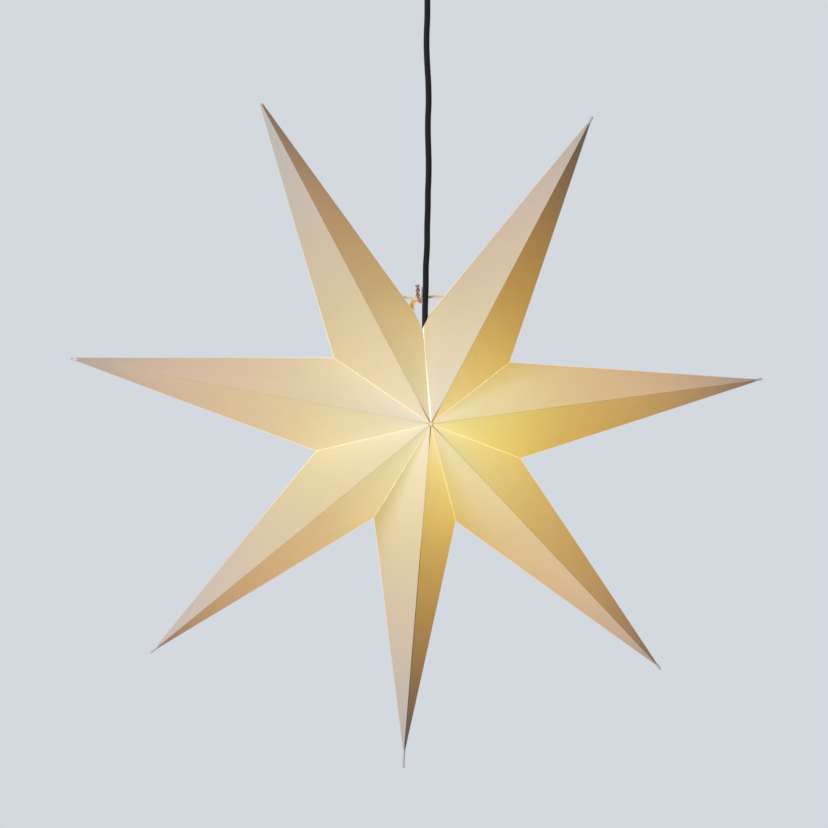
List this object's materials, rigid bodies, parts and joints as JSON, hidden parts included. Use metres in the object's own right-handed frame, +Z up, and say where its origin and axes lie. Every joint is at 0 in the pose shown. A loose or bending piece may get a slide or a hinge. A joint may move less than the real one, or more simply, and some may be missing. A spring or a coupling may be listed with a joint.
{
  "type": "paper advent star",
  "caption": "Hanging folded-card star lantern lit from inside, with a small lampholder and bulb, on a short textile cord with a ceiling cup.",
  "frame": {"origin": "centre of the face that goes against the ceiling", "axes": "+Z up into the ceiling, the star's front towards -Y, +X to the right seen from the front"},
  "size_m": [0.697, 0.1994, 0.8407],
  "materials": {
    "card": "matte off-white card, glowing warm from inside",
    "cotton_tape": "narrow woven cotton tape",
    "textile_cord": "braided black textile over the cord",
    "bulb_glass": "frosted warm white glass, lit",
    "black_plastic": "satin moulded black plastic",
    "core_ceramic": "unglazed insulating ceramic",
    "brass": "plain brass",
    "zinc_steel": "zinc plated steel",
    "black_screw": "blackened steel",
    "block_plastic": "white insulating plastic",
    "brown_sleeving": "brown wire insulation",
    "blue_sleeving": "blue wire insulation"
  },
  "bodies": {
    "root": {"point_upper_left": "card", "point_upper_right": "card", "point_right": "card", "point_lower_right": "card", "point_bottom": "card", "point_lower_left": "card", "point_left": "card", "tie_left": "cotton_tape", "tie_right": "cotton_tape", "cord": "textile_cord", "bulb": "bulb_glass", "holder_cap": "black_plastic", "holder_skirt": "black_plastic", "holder_core": "core_ceramic", "thread_sleeve": "brass", "centre_contact": "brass", "cord_clamp": "zinc_steel", "holder_terminals": "brass", "holder_screws": "zinc_steel", "holder_lead_live": "brown_sleeving", "holder_lead_neutral": "blue_sleeving", "ceiling_cup": "black_plastic", "ceiling_bracket": "zinc_steel", "cup_screws": "black_screw", "cord_grip": "black_plastic", "grip_nut": "black_plastic", "grip_screw": "zinc_steel", "terminal_block": "block_plastic", "block_screws": "zinc_steel", "cup_lead_live": "brown_sleeving", "cup_lead_neutral": "blue_sleeving"}
  },
  "joints": []
}
